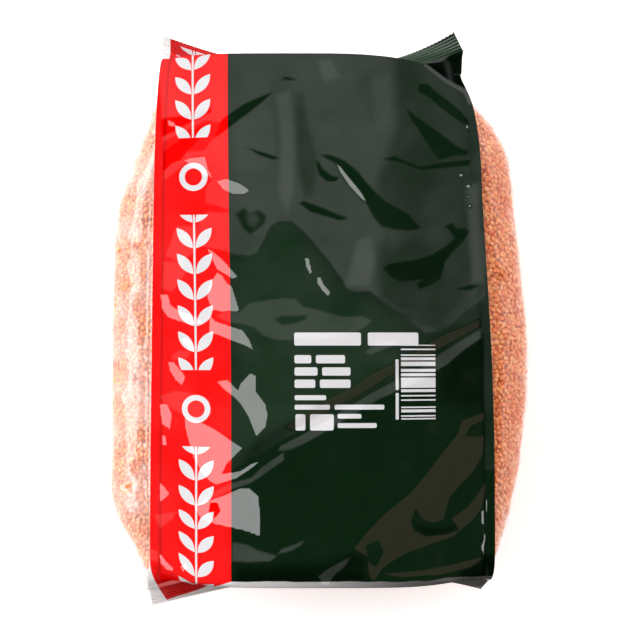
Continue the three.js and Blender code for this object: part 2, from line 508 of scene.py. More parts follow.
def sprig_mask(nodes, u, v):
    """White leaves in pairs up a stem, repeated along the red band."""
    start = nodes.math("SUBTRACT", v, SPRIG_TOP - SPRIG_PERIOD)
    run = nodes.math("FLOORED_MODULO", start, SPRIG_PERIOD)
    across = nodes.math("SUBTRACT", u, SPRIG_STEM)
    cell = nodes.math("SUBTRACT", nodes.math("FLOORED_MODULO", run, LEAF_PITCH), LEAF_PITCH * 0.5)
    away = nodes.math("ABSOLUTE", across)
    far = nodes.math("SUBTRACT", away, LEAF_LENGTH * 0.5 * math.sin(LEAF_TILT) + 1.0)
    up = nodes.math("SUBTRACT", cell, LEAF_PITCH * 0.06)
    length = nodes.math(
        "ADD",
        nodes.math("MULTIPLY", far, math.sin(LEAF_TILT)),
        nodes.math("MULTIPLY", up, math.cos(LEAF_TILT)),
    )
    width = nodes.math(
        "SUBTRACT",
        nodes.math("MULTIPLY", far, math.cos(LEAF_TILT)),
        nodes.math("MULTIPLY", up, math.sin(LEAF_TILT)),
    )
    share = nodes.math("POWER", nodes.math("DIVIDE", length, LEAF_LENGTH * 0.5), 2.0)
    room = nodes.math("MULTIPLY", nodes.math("SUBTRACT", 1.0, share), LEAF_WIDTH)
    spare = nodes.math("SUBTRACT", room, nodes.math("ABSOLUTE", width))
    leaf = nodes.ramp(spare, -SOFT_EDGE, SOFT_EDGE)
    stem = nodes.ramp(away, *STEM_EDGE)
    low, high = SPRIG_START, SPRIG_START + SPRIG_PAIRS * LEAF_PITCH
    inside = nodes.math(
        "MULTIPLY",
        nodes.ramp(run, low - 2 * SOFT_EDGE, low),
        nodes.ramp(run, high, high - 2 * SOFT_EDGE),
    )
    plant = nodes.math("MULTIPLY", nodes.math("MAXIMUM", leaf, stem), inside)
    ring_row = nodes.math("SUBTRACT", run, SPRIG_PERIOD - RING_FROM_TOP)
    squares = nodes.math("ADD", nodes.math("POWER", across, 2.0), nodes.math("POWER", ring_row, 2.0))
    round_off = nodes.math("SUBTRACT", nodes.math("SQRT", squares), RING_RADIUS)
    ring = nodes.ramp(nodes.math("ABSOLUTE", round_off), *RING_EDGE)
    return nodes.math("MAXIMUM", plant, ring)


# Edges of the print in millimetres: its slant past the red band, its rise to the right, the line
# across the top left ear, and the round bottom left corner
MARGIN_SLANT = 0.33
MARGIN_RISE = (70.0, 84.0, 2.4)
MARGIN_EDGE = (1.3, 0.7)
EAR_LINE_X = (-98.6, -99.2)
EAR_LINE_Y = (171.0, 171.6)
CORNER_X = -111.6
CORNER_Y = -158.0
CORNER_ROUNDING = 0.0135
# Where the unprinted film turns from its painted light to its painted shade, in x; then the ears' painted
# light, and how much of it they take
BARE_LIGHT_TO_SHADE = (-70.0, 80.0)
EAR_FILM_PAINTED_LIGHT = (0.97, 0.965, 0.96)
EAR_SHARE = 0.85


def unprinted(nodes, place):
    """Where the film has no print, beyond a line at the bottom end and at two ears, and its painted light
    and shade.
    """
    parts = nodes.add("ShaderNodeSeparateXYZ", {0: place}).outputs
    x = nodes.math("MULTIPLY", parts["X"], 1 / MM)
    y = nodes.math("MULTIPLY", parts["Y"], 1 / MM)
    past_band = nodes.math("MINIMUM", nodes.math("SUBTRACT", x, BAND_EDGE), 0.0)
    slant = nodes.math("MULTIPLY", past_band, MARGIN_SLANT)
    low, high, rise = MARGIN_RISE
    line = nodes.math("ADD", slant, nodes.ramp(x, low, high, BOTTOM_MARGIN, BOTTOM_MARGIN + rise))
    waver = nodes.math("MULTIPLY", nodes.noise(place, 60.0, 2.0), 2.0)
    above = nodes.math("ADD", nodes.math("SUBTRACT", y, line), waver)
    below = nodes.ramp(above, *MARGIN_EDGE)
    ear = nodes.math("MULTIPLY", nodes.ramp(x, *EAR_LINE_X), nodes.ramp(y, *EAR_LINE_Y))
    past = nodes.math("MAXIMUM", nodes.math("SUBTRACT", CORNER_Y, y), 0.0)
    round_off = nodes.math("MULTIPLY", nodes.math("POWER", past, 2.0), CORNER_ROUNDING)
    left_end = nodes.math("SUBTRACT", nodes.math("SUBTRACT", x, CORNER_X), round_off)
    ears = nodes.math("MAXIMUM", ear, nodes.ramp(left_end, 0.3, -0.3))
    bare_painted_light = nodes.mix(nodes.ramp(x, *BARE_LIGHT_TO_SHADE), *BARE_FILM_PAINTED_LIGHT_AND_SHADE)
    # The ears are painted near white, as painted light.
    bare_painted_light = nodes.mix(nodes.math("MULTIPLY", ears, EAR_SHARE), bare_painted_light, EAR_FILM_PAINTED_LIGHT)
    return nodes.math("MAXIMUM", below, ears), bare_painted_light


def printed_film():
    """Glossy film printed dark green, with a red band and white marks."""
    material, nodes, output = new_material("printed film")
    uv = nodes.add("ShaderNodeUVMap", uv_map="film").outputs[0]
    parts = nodes.add("ShaderNodeSeparateXYZ", {0: uv}).outputs
    u = nodes.math("MULTIPLY", parts["X"], 1 / MM)
    v = nodes.math("MULTIPLY", parts["Y"], 1 / MM)
    place = object_coordinates(nodes)
    cloudy = nodes.noise(place, 22.0, 3.0)
    green = nodes.mix(cloudy, tuple(c * 0.85 for c in GREEN), tuple(c * 1.25 for c in GREEN))
    red = nodes.mix(cloudy, RED, (0.88, 0.0015, 0.001))
    in_band = nodes.ramp(u, BAND_EDGE + 0.15, BAND_EDGE - 0.15)
    ground = nodes.mix(in_band, green, red)
    group = bar_group()
    marks = stripe_mask(nodes, group, u, v)
    for bar in BARS:
        rounding = min(BAR_ROUNDING, 0.3 * min(bar[1] - bar[0], bar[3] - bar[2]))
        marks = nodes.math("MAXIMUM", marks, bar_mask(nodes, group, u, v, bar, rounding))
    sprig = nodes.math("MULTIPLY", sprig_mask(nodes, u, v), in_band)
    marks = nodes.math("MAXIMUM", marks, sprig)
    # The print's colour is scaled by its painted shading: painted shade where it is below 1, painted
    # light where it is above.
    painted_shading = nodes.add("ShaderNodeAttribute", attribute_name="painted_shading").outputs["Fac"]
    ground = nodes.add("ShaderNodeVectorMath", {0: ground, "Scale": painted_shading}, operation="SCALE").outputs[0]
    printed = nodes.mix(marks, ground, WHITE)
    bare_share, bare_painted_light = unprinted(nodes, place)
    colour = nodes.mix(bare_share, printed, bare_painted_light)
    rub = nodes.noise(place, 160.0, 4.0, 0.6)
    inputs = {"Base Color": colour, "Roughness": nodes.ramp(rub, 0.3, 0.8, 0.07, 0.15)}
    inputs["Normal"] = nodes.bump(nodes.noise(place, 420.0, 2.0), 0.05, 0.0002)
    inputs["IOR"] = 1.5
    shader = nodes.add("ShaderNodeBsdfPrincipled", inputs)
    nodes.put(output.inputs["Surface"], shader.outputs[0])
    return material


# Milky haze of the clear film: everywhere, and how much more on the left gusset, where the extra stands
# in for the sheen of the light from the left as painted sheen
HAZE = 0.02
LEFT_PAINTED_SHEEN = 0.16


def clear_film():
    """Clear glossy film with a faint milky haze, more of it on the left as painted sheen, and a
    mirror-like edge.
    """
    material, nodes, output = new_material("clear film")
    place = object_coordinates(nodes)
    facing = nodes.add("ShaderNodeLayerWeight", {"Blend": 0.5}).outputs["Facing"]
    mirror = nodes.math("ADD", nodes.math("MULTIPLY", nodes.math("POWER", facing, 5.0), 0.6), 0.03)
    cloud = nodes.noise(place, 38.0, 3.0, 0.55)
    # More haze to the west: painted sheen of the light from the left.
    west = nodes.ramp(nodes.add("ShaderNodeSeparateXYZ", {0: place}).outputs["X"], 0.0, -0.12)
    most = nodes.math("MULTIPLY_ADD", west, LEFT_PAINTED_SHEEN, HAZE)
    haze_and_painted_sheen = nodes.math("MULTIPLY", nodes.ramp(cloud, 0.3, 0.75, 0.25, 1.0), most)
    through = nodes.add("ShaderNodeBsdfTransparent", {"Color": (0.985, 0.98, 0.975)}).outputs[0]
    milk = nodes.add("ShaderNodeBsdfDiffuse", {"Color": (0.93, 0.9, 0.89)}).outputs[0]
    veil = nodes.add("ShaderNodeMixShader", {0: haze_and_painted_sheen, 1: through, 2: milk}).outputs[0]
    rub = nodes.noise(place, 120.0, 3.0)
    rough = nodes.ramp(rub, 0.3, 0.8, 0.05, 0.16)
    cells = nodes.add("ShaderNodeTexVoronoi", {"Vector": place, "Scale": 230.0}, feature="SMOOTH_F1")
    bumps = nodes.math("MULTIPLY", cells.outputs["Distance"], -1.0)
    taut = nodes.ramp(nodes.noise(place, 26.0, 2.0), 0.42, 0.6)
    height = nodes.math("MULTIPLY", bumps, taut)
    pimples = nodes.bump(height, 0.5, 0.0011)
    gloss = nodes.add(
        "ShaderNodeBsdfGlossy", {"Color": (1, 1, 1), "Roughness": rough, "Normal": pimples}
    ).outputs[0]
    skin = nodes.add("ShaderNodeMixShader", {0: mirror, 1: veil, 2: gloss}).outputs[0]
    nodes.put(output.inputs["Surface"], skin)
    return material


# Middle, deep and pale tones, and a faint glow for the light that lentils pass to each other
LENTIL_COLOURS = [(0.90, 0.30, 0.09), (0.85, 0.21, 0.055), (0.93, 0.40, 0.15)]
LENTIL_SPECK = (0.95, 0.6, 0.36)
# Painted shade in the heap's gaps
HEAP_GAP_PAINTED_SHADE = (0.7, 0.24, 0.08)
LENTIL_GLOW = 0.075


def lentil_skin(nodes, tone, place):
    middle, deep, pale = LENTIL_COLOURS
    colour = nodes.mix(nodes.ramp(tone, 0.45, 1.0), middle, pale)
    colour = nodes.mix(nodes.ramp(tone, 0.4, 0.0), colour, deep)
    speck = nodes.noise(place, 900.0, 3.0, 0.6)
    return nodes.mix(nodes.ramp(speck, 0.55, 0.8, 0.0, 0.25), colour, LENTIL_SPECK)


def lentil_material():
    """Matt split lentils, each a little different in tone."""
    material, nodes, output = new_material("split lentils")
    tone = nodes.add("ShaderNodeAttribute", attribute_name="tone").outputs["Fac"]
    place = object_coordinates(nodes)
    colour = lentil_skin(nodes, tone, place)
    inputs = {"Base Color": colour, "Roughness": 0.55}
    inputs.update({"Emission Color": colour, "Emission Strength": LENTIL_GLOW})
    inputs["Normal"] = nodes.bump(nodes.noise(place, 700.0, 3.0), 0.25, 0.0003)
    shader = nodes.add("ShaderNodeBsdfPrincipled", inputs)
    nodes.put(output.inputs["Surface"], shader.outputs[0])
    return material


def core_material():
    """The heap behind the outer lentils: the same colours, with painted shade in the gaps."""
    material, nodes, output = new_material("lentil heap")
    place = object_coordinates(nodes)
    cells = nodes.add("ShaderNodeTexVoronoi", {"Vector": place, "Scale": 260.0})
    tone = nodes.add("ShaderNodeSeparateColor", {0: cells.outputs["Color"]}).outputs[0]
    skin = lentil_skin(nodes, tone, place)
    gap_painted_shade = nodes.ramp(cells.outputs["Distance"], 0.35, 0.75)
    colour = nodes.mix(gap_painted_shade, skin, HEAP_GAP_PAINTED_SHADE)
    inputs = {"Base Color": colour, "Roughness": 0.65}
    inputs.update({"Emission Color": colour, "Emission Strength": LENTIL_GLOW})
    depth = nodes.math("MULTIPLY", cells.outputs["Distance"], -1.0)
    inputs["Normal"] = nodes.bump(depth, 0.8, 0.002)
    shader = nodes.add("ShaderNodeBsdfPrincipled", inputs)
    nodes.put(output.inputs["Surface"], shader.outputs[0])
    return material


# Facets of the front film. Each is an outline on the photo, in pixels, and its kind says what it
# mirrors to the camera: how far to the east and to the north that lies, as parts of a unit
# direction, or None for what the loft itself mirrors. Then how soft its edge is, in pixels.
PHOTO_CENTRE = (320.0, 319.5)
PIXEL = 0.66
MIRRORS = {
    "grey": (None, 0.22, 1.0),
    "rising": (None, 0.035, 1.3),
    "level": (None, -0.08, 1.3),
    "dark": (None, -0.08, 1.0),
    "band": (None, 0.05, 2.0),
    "dull": (None, 0.145, 1.0),
    "edge": (None, 0.60, 0.8),
    "dim": (None, 0.10, 8.0),
    "soft dark": (None, -0.08, 5.0),
    "ring": (None, -0.04, 2.4),
    "white": (-0.55, 0.0, 0.9),
    "warm": (0.30, -0.24, 1.0),
    "soft bright": (None, 0.30, 5.0),
    "soft pale": (None, 0.40, 4.0),
    "soft dull": (None, 0.145, 4.0),
    "soft rising": (None, 0.10, 4.0),
}
FACETS = [
    ("rising", [(163, 225), (262, 240), (278, 221), (292, 221), (345, 288), (402, 313), (478, 300),
                (484, 332), (395, 378), (300, 430), (232, 470), (163, 500)]),
    ("level", [(232, 472), (300, 434), (395, 380), (484, 334), (488, 560), (400, 572),
               (232, 572)]),
    ("band", [(140, 30), (231, 30), (232, 610), (140, 610)]),
    ("grey", [(158, 40), (300, 40), (425, 50), (447, 76), (472, 90), (484, 200), (486, 296), (465, 311),
              (452, 323), (440, 331), (425, 333), (412, 322), (416, 313), (402, 313), (392, 308),
              (380, 299), (370, 291), (356, 292), (348, 289), (343, 281), (330, 262), (310, 238),
              (300, 228), (292, 221), (279, 221), (270, 226), (264, 240), (257, 252), (250, 256),
              (232, 254), (222, 250), (205, 247), (197, 243), (199, 215), (210, 211), (220, 213),
              (231, 211), (218, 206), (205, 203), (206, 186), (212, 180), (200, 172), (184, 164),
              (165, 180), (163, 165), (182, 160), (186, 152), (204, 150), (212, 140), (222, 122),
              (205, 120), (163, 142)]),
    ("soft bright", [(232, 130), (262, 106), (274, 112), (276, 150), (262, 170), (236, 168)]),
    ("soft pale", [(277, 96), (289, 90), (294, 130), (294, 185), (287, 214), (279, 190), (281, 140)]),
    ("soft dull", [(296, 96), (303, 90), (309, 128), (319, 165), (312, 196), (304, 200), (298, 160)]),
    ("soft pale", [(318, 60), (331, 60), (339, 76), (325, 82)]),
    ("soft bright", [(372, 80), (390, 74), (391, 122), (377, 130)]),
    ("dim", [(394, 40), (425, 50), (447, 76), (472, 90), (484, 200), (486, 296), (465, 311),
                     (440, 331), (416, 326), (402, 313), (380, 299), (376, 262), (384, 236),
                     (372, 214), (378, 180), (386, 158), (398, 120)]),
    ("soft pale", [(346, 285), (352, 262), (359, 240), (371, 236), (375, 262), (369, 286)]),
    ("soft dull", [(386, 229), (420, 231), (406, 245), (392, 250)]),
    ("soft dull", [(440, 322), (462, 300), (476, 286), (480, 292), (462, 312), (448, 326)]),
    ("dark", [(161, 119), (180, 116), (200, 112), (210, 108), (212, 111), (200, 118), (185, 125),
              (172, 132), (162, 137)]),
    ("white", [(167, 120), (174, 122), (176, 127), (169, 126)]),
    ("dark", [(163, 152), (180, 140), (190, 133), (204, 124), (203, 132), (196, 142), (188, 150),
              (180, 160), (172, 163), (163, 172)]),
    ("dark", [(214, 138), (222, 119), (232, 112), (246, 103), (262, 96), (273, 92), (264, 100),
              (250, 111), (238, 120), (228, 128)]),
    ("white", [(183, 160), (192, 157), (205, 156), (208, 168), (213, 178), (205, 175), (195, 169)]),
    ("white", [(216, 181), (226, 178), (240, 183), (250, 190), (245, 194), (232, 194), (222, 189)]),
    ("ring", [(236, 214), (244, 208), (250, 214), (258, 210), (266, 216), (264, 224), (256, 230),
              (250, 234), (243, 228)]),
    ("soft dull", [(246, 214), (256, 213), (260, 220), (254, 228), (248, 224)]),
    ("dark", [(246, 147), (262, 152), (279, 158), (272, 159), (260, 155)]),
    ("dark", [(280, 79), (286, 77), (297, 79), (292, 80)]),
    ("dark", [(316, 161), (319, 162), (322, 168), (330, 175), (339, 178), (335, 181), (327, 181),
              (319, 174)]),
    ("dark", [(321, 155), (330, 155), (345, 161), (356, 170), (366, 182), (376, 193), (386, 202),
              (400, 209), (410, 215), (413, 221), (421, 228), (410, 230), (395, 229), (382, 226),
              (374, 217), (367, 204), (356, 190), (345, 176), (334, 162)]),
    ("white", [(334, 160), (341, 166), (352, 180), (361, 191), (369, 204), (361, 199), (349, 186),
               (340, 173)]),
    ("dark", [(299, 203), (304, 201), (312, 204), (325, 209), (336, 214), (348, 218), (340, 220),
              (326, 216), (310, 211)]),
    ("dark", [(418, 91), (420, 84), (428, 84), (436, 92), (450, 102), (461, 112), (469, 123),
              (464, 124), (454, 117), (440, 107), (431, 98)]),
    ("dark", [(406, 108), (415, 116), (430, 126), (445, 137), (458, 147), (469, 152), (466, 155),
              (456, 155), (440, 159), (434, 152), (428, 143), (419, 129), (411, 118)]),
    ("dark", [(383, 159), (395, 156), (404, 161), (420, 167), (440, 163), (470, 160), (470, 165),
              (440, 168), (420, 169), (402, 162)]),
    ("dark", [(383, 268), (390, 264), (404, 262), (418, 260), (432, 255), (446, 246), (455, 239),
              (450, 231), (445, 226), (452, 223), (457, 229), (464, 228), (470, 231), (462, 243),
              (452, 252), (445, 262), (440, 279), (428, 286), (420, 289), (417, 284), (424, 279),
              (400, 281), (391, 276)]),
    ("dark", [(456, 290), (462, 287), (470, 285), (478, 286), (470, 290)]),
    ("white", [(206, 248), (212, 250), (225, 262), (238, 277), (232, 279), (225, 274), (217, 270)]),
    ("white", [(208, 287), (217, 272), (222, 275), (227, 283), (232, 286), (240, 311), (230, 313),
               (212, 310), (207, 298)]),
    ("white", [(160, 294), (168, 294), (171, 305), (182, 312), (195, 316), (203, 322), (194, 325),
               (180, 322), (168, 318), (161, 308)]),
    ("grey", [(164, 262), (182, 262), (186, 272), (172, 292), (162, 288)]),
    ("grey", [(176, 226), (198, 226), (197, 250), (180, 262), (166, 256)]),
    ("grey", [(216, 316), (226, 311), (240, 312), (250, 303), (268, 300), (284, 298), (296, 299),
              (302, 306), (318, 310), (332, 314), (346, 317), (362, 316), (372, 321), (362, 329),
              (345, 335), (320, 339), (304, 338), (288, 340), (275, 340), (262, 335), (254, 327),
              (243, 324), (230, 323)]),
    ("rising", [(274, 319), (283, 316), (296, 316), (307, 315), (306, 319), (296, 323), (282, 325)]),
    ("white", [(209, 313), (215, 321), (230, 326), (243, 330), (250, 340), (254, 351), (245, 346),
               (232, 341), (218, 335), (209, 334)]),
    ("white", [(304, 257), (309, 257), (311, 265), (313, 273), (309, 274), (305, 266)]),
    ("white", [(316, 277), (321, 277), (324, 284), (331, 292), (328, 297), (322, 291), (317, 284)]),
    ("grey", [(364, 353), (374, 346), (388, 341), (403, 338), (396, 345), (382, 350), (371, 354)]),
    ("white", [(181, 340), (187, 338), (196, 348), (192, 352)]),
    ("grey", [(171, 356), (180, 350), (191, 352), (186, 359), (173, 360)]),
    ("white", [(168, 361), (174, 362), (186, 376), (182, 386), (175, 380), (169, 370)]),
    ("grey", [(160, 396), (175, 391), (190, 393), (210, 400), (212, 415), (190, 418), (166, 406)]),
    ("white", [(216, 381), (228, 380), (238, 390), (240, 384), (250, 373), (256, 375), (256, 391),
               (266, 404), (268, 415), (266, 427), (256, 437), (248, 417), (240, 404), (233, 397),
               (224, 390)]),
    ("white", [(159, 404), (167, 404), (172, 415), (170, 430), (162, 424)]),
    ("white", [(162, 435), (166, 436), (167, 446), (162, 445)]),
    ("white", [(184, 417), (200, 421), (216, 430), (232, 441), (243, 448), (235, 456), (226, 465),
               (222, 474), (240, 471), (252, 463), (261, 461), (250, 470), (236, 479), (216, 485),
               (209, 481), (200, 470), (193, 458), (189, 445), (185, 430)]),
    ("warm", [(480, 319), (462, 327), (440, 337), (420, 348), (396, 361), (372, 374), (350, 388),
              (325, 400), (300, 416), (285, 427), (292, 430), (310, 421), (335, 408), (360, 395),
              (385, 379), (410, 366), (435, 351), (455, 340), (480, 327)]),
    ("grey", [(480, 330), (462, 340), (440, 354), (425, 366), (400, 378), (375, 391), (350, 406),
              (325, 421), (300, 436), (280, 446), (278, 451), (290, 450), (306, 443), (330, 429),
              (356, 413), (380, 399), (404, 388), (430, 375), (448, 364), (464, 350), (481, 338)]),
    ("grey", [(284, 452), (262, 467), (251, 478), (232, 483), (214, 492), (199, 500), (206, 502),
              (220, 495), (236, 488), (249, 484), (262, 476), (284, 460)]),
    ("white", [(193, 505), (208, 501), (225, 495), (240, 488), (250, 488), (259, 496), (261, 520),
               (260, 537), (250, 533), (240, 530), (225, 527), (210, 523), (200, 518)]),
    ("dark", [(210, 503), (217, 503), (220, 512), (213, 519), (209, 512)]),
    ("white", [(159, 481), (165, 487), (170, 493), (165, 499), (160, 502)]),
    ("grey", [(154, 515), (176, 512), (173, 518), (160, 528)]),
    ("grey", [(232, 542), (246, 544), (258, 550), (277, 556), (270, 561), (250, 562), (232, 561)]),
    ("grey", [(278, 554), (281, 549), (295, 544), (305, 540), (300, 546), (291, 551)]),
    ("level", [(352, 552), (366, 535), (379, 521), (393, 507), (409, 495), (423, 479), (437, 461),
               (446, 448), (458, 432), (462, 420), (485, 410), (488, 580), (370, 582)]),
    ("warm", [(354, 549), (365, 535), (378, 521), (392, 508), (408, 496), (422, 480), (436, 462),
              (446, 449), (458, 434), (462, 421), (484, 413), (484, 419), (470, 426), (464, 437),
              (484, 437), (482, 455), (474, 470), (460, 485), (449, 498), (446, 510), (444, 520),
              (432, 523), (422, 518), (416, 508), (411, 520), (414, 532), (425, 537), (445, 535),
              (460, 530), (455, 536), (430, 544), (410, 551), (395, 559), (382, 569), (375, 580),
              (370, 578), (368, 568), (366, 556)]),
    ("warm", [(486, 482), (478, 494), (468, 507), (452, 519), (460, 531), (472, 521), (482, 508)]),
    ("warm", [(380, 574), (420, 571), (450, 566), (478, 558), (483, 558), (470, 567), (440, 574),
              (400, 577)]),
    ("dark", [(414, 509), (419, 519), (430, 526), (445, 527), (457, 524), (446, 534), (426, 536),
              (414, 531)]),
    ("dull", [(317, 576), (324, 571), (338, 563), (351, 557), (345, 566), (336, 574), (328, 585),
              (322, 584)]),
    ("soft dark", [(366, 546), (378, 540), (384, 552), (376, 566), (369, 562)]),
    ("soft bright", [(467, 184), (477, 184), (483, 282), (473, 282)]),
    ("soft rising", [(471, 96), (477, 150), (479, 150), (473, 96)]),
    ("rising", [(484, 296), (490, 296), (496, 400), (498, 470), (484, 470), (484, 400)]),
    ("white", [(159, 553), (164, 557), (168, 562), (174, 568), (173, 571), (166, 569), (160, 563)]),
    ("white", [(180, 566), (186, 563), (188, 567), (183, 572)]),
    ("grey", [(150, 548), (158, 552), (158, 562), (151, 560)]),
    ("dark", [(160, 573), (176, 577), (180, 590), (162, 590)]),
    ("white", [(485, 499), (488, 499), (488, 513), (486, 513)]),
    ("white", [(481, 510), (484, 510), (485, 526), (481, 524)]),
    ("white", [(483, 529), (486, 535), (484, 557), (480, 548), (483, 540)]),
    ("white", [(459, 173), (463, 173), (463, 177), (459, 177)]),
    ("white", [(465, 184), (471, 184), (471, 188), (466, 188)]),
    ("white", [(466, 195), (471, 195), (471, 198), (467, 198)]),
    ("white", [(468, 204), (472, 204), (472, 208), (468, 208)]),
    ("white", [(465, 125), (469, 125), (468, 130), (466, 129)]),
    ("dark", [(414, 54), (470, 54), (468, 91), (447, 82), (424, 66)]),
    ("soft dull", [(444, 60), (449, 60), (453, 84), (449, 82)]),
    ("edge", [(424, 63), (447, 80), (467, 90), (471, 104), (469, 104), (464, 93), (446, 83),
              (424, 66)]),
]
# Painted shade and painted light on the print: how much darker or lighter it is made in a few places, how
# soft their edges are, in pixels, and their outlines on the photo
PAINTED_SHADE_AND_LIGHT = [
    (1.5, 9, [(236, 262), (262, 245), (278, 225), (292, 225), (340, 290), (398, 318), (400, 370),
              (300, 425), (236, 455)]),
    (0.55, 10, [(440, 350), (484, 338), (488, 400), (470, 410), (440, 400)]),
    (0.45, 8, [(236, 566), (330, 562), (352, 552), (366, 556), (366, 584), (236, 590)]),
    (0.75, 6, [(383, 266), (440, 252), (462, 234), (440, 281), (420, 288), (400, 282)]),
    (0.55, 5, [(240, 458), (262, 436), (290, 420), (302, 424), (266, 446), (246, 462)]),
    (0.45, 4, [(412, 524), (430, 528), (456, 526), (446, 534), (426, 536)]),
    (0.35, 1, [(414, 54), (470, 54), (468, 91), (447, 82), (424, 66)]),
    (0.3, 3, [(432, 66), (446, 72), (452, 84), (446, 82)]),
    (0.35, 4, [(446, 586), (458, 574), (486, 556), (500, 552), (500, 600), (446, 600)]),
]
# The greatest part to the east or west of what a facet mirrors by the loft's own lean
OWN_REACH = 0.26
FACET_REACH = 90.0
# Slow unevenness of what the film mirrors: seed, size in pixels, amount, to the east and the north
EAST_RIPPLES = [(31, 60, 0.015)]
NORTH_RIPPLES = [(32, 70, 0.018), (33, 24, 0.008)]
WAVES = 14


def photo_place(points):
    """Where points, in millimetres, are seen on the photo, in pixels."""
    nearer = (CAMERA_HEIGHT - FRAME_PLANE) / (CAMERA_HEIGHT - points[..., 2] * MM) / PIXEL
    column = PHOTO_CENTRE[0] + points[..., 0] * nearer
    row = PHOTO_CENTRE[1] - points[..., 1] * nearer
    return column, row


def facet_mask(column, row, outline, soft):
    """From 0 outside an outline to 1 inside it, with a soft edge."""
    inside = np.zeros(column.shape, bool)
    nearest = np.full(column.shape, np.inf)
    for (ax, ay), (bx, by) in zip(outline, outline[1:] + outline[:1]):
        run = ((column - ax) * (bx - ax) + (row - ay) * (by - ay)) / ((bx - ax) ** 2 + (by - ay) ** 2)
        run = np.clip(run, 0, 1)
        nearest = np.minimum(nearest, np.hypot(column - ax - run * (bx - ax), row - ay - run * (by - ay)))
        if ay != by:
            crossing = ax + (row - ay) * (bx - ax) / (by - ay)
            inside ^= ((ay > row) != (by > row)) & (column < crossing)
    return smooth_step(-soft, soft, np.where(inside, nearest, -nearest))


def to_camera(points):
    """Unit directions from points to the camera."""
    away = np.array([0, FRAME_SHIFT, CAMERA_HEIGHT]) / MM - points
    return away / np.linalg.norm(away, axis=-1, keepdims=True)


def facet_normals(points, own):
    """The film's normals once each facet mirrors what its kind says to the camera above the bag."""
    sight = to_camera(points)
    mirrored = 2 * (own * sight).sum(axis=-1, keepdims=True) * own - sight
    mirrored[..., 0] = np.clip(mirrored[..., 0], -OWN_REACH, OWN_REACH)
    aim = mirrored[..., :2].copy()
    column, row = photo_place(points)
    for kind, outline in FACETS:
        *wanted, soft = MIRRORS[kind]
        mask = facet_mask(column, row, outline, soft)
        for axis, part in enumerate(wanted):
            part = mirrored[..., axis] if part is None else part
            aim[..., axis] += mask * (part - aim[..., axis])
    aim[..., 0] += sum(ripples(column, row, *wave) for wave in EAST_RIPPLES)
    aim[..., 1] += sum(ripples(column, row, *wave) for wave in NORTH_RIPPLES)
    upward = np.sqrt(np.maximum(1 - (aim**2).sum(axis=-1, keepdims=True), 0.01))
    made = sight + np.concatenate([aim, upward], axis=-1)
    return made / np.linalg.norm(made, axis=-1, keepdims=True)


def painted_film_shading(points):
    """The factor of painted shade and painted light on the print's colour at each place."""
    column, row = photo_place(points)
    painted_shading = np.ones(column.shape)
    for factor, soft, outline in PAINTED_SHADE_AND_LIGHT:
        painted_shading *= 1 + facet_mask(column, row, outline, soft) * (factor - 1)
    return painted_shading


def heights_from_steps(along_rows, along_columns, step):
    """The heights whose steps between neighbours come closest to the wanted steps."""
    rows, columns = along_rows.shape[0], along_columns.shape[1]
    pull = np.zeros((rows, columns))
    pull[:, 1:] += along_rows
    pull[:, :-1] -= along_rows
    pull[1:] += along_columns
    pull[:-1] -= along_columns
    mirrored = np.block([[pull, pull[:, ::-1]], [pull[::-1], pull[::-1, ::-1]]])
    row_wave = 2 - 2 * np.cos(2 * np.pi * np.fft.fftfreq(2 * rows))
    column_wave = 2 - 2 * np.cos(2 * np.pi * np.fft.rfftfreq(2 * columns))
    stiffness = row_wave[:, None] + column_wave[None, :] + (step / FACET_REACH) ** 2
    return np.fft.irfft2(np.fft.rfft2(mirrored) / stiffness, mirrored.shape)[:rows, :columns]


def steps_between(grid, axis):
    """Differences and means of neighbours along one axis."""
    ahead = np.take(grid, range(1, grid.shape[axis]), axis)
    behind = np.take(grid, range(grid.shape[axis] - 1), axis)
    return ahead - behind, (ahead + behind) / 2


def facet_relief(points, own, wanted, share):
    """How far the film stands off the loft where its facets lean as wanted."""
    rise = []
    for part in (0, 1):
        lean = own[..., part] / own[..., 2] - wanted[..., part] / wanted[..., 2]
        rise.append(share * lean)
    steps = []
    for axis in (1, 0):
        lifts = []
        for part in (0, 1):
            mean = steps_between(rise[part], axis)[1]
            run = steps_between(points[..., part], axis)[0]
            lifts.append(mean * run)
        steps.append(lifts[0] + lifts[1])
    return share * heights_from_steps(*steps, LENGTH_STEP)


def ripples(x, y, seed, size, amount):
    """Soft uneven swelling, as a sum of a few seeded waves."""
    draw = np.random.default_rng(seed)
    total = np.zeros_like(x)
    for _ in range(WAVES):
        angle = draw.uniform(0, math.pi)
        length = size * draw.uniform(0.6, 1.7)
        phase = draw.uniform(0, 2 * math.pi)
        total += np.sin((x * math.cos(angle) + y * math.sin(angle)) * 2 * math.pi / length + phase)
    return total * amount / math.sqrt(WAVES / 2)


# Pieces. The printed fins lie a little above the clear film's, with a groove along their roots, where the
# print carries painted shade.
FIN_LIFT = 0.5
FIN_WAVER = 0.11
FIN_COLUMNS = 6
GROOVE = 0.12
GROOVE_WIDTH = 0.9
GROOVE_PAINTED_SHADE = 0.4
PRINT_SKEW = 2.4


def fin_columns(step):
    """Places across the front panel: the two fins, each with a root line, and the panel."""
    root = 1 - FIN_WIDTH / HALF_WIDTH
    count = int(round(2 * root * HALF_WIDTH / step))
    inner = np.linspace(-root, root, count + 1)
    fin = np.linspace(1, root, FIN_COLUMNS + 1)[:-1]
    return np.concatenate([-fin, inner, fin[::-1]]), root


def from_ends(place, low, high):
    """From 0 near the two seals to 1 between them: low and high are places from each seal."""
    return smooth_step(low, high, place) * smooth_step(LAST - low, LAST - high, place)


def print_coordinates(points, place):
    """The film's own coordinates: across by place, along by length."""
    skew = PRINT_SKEW * smooth_step(-66, 166, points[..., 1])
    across = points[..., 0] + skew
    return np.stack([across, np.broadcast_to(film_length(place), across.shape)], axis=-1)


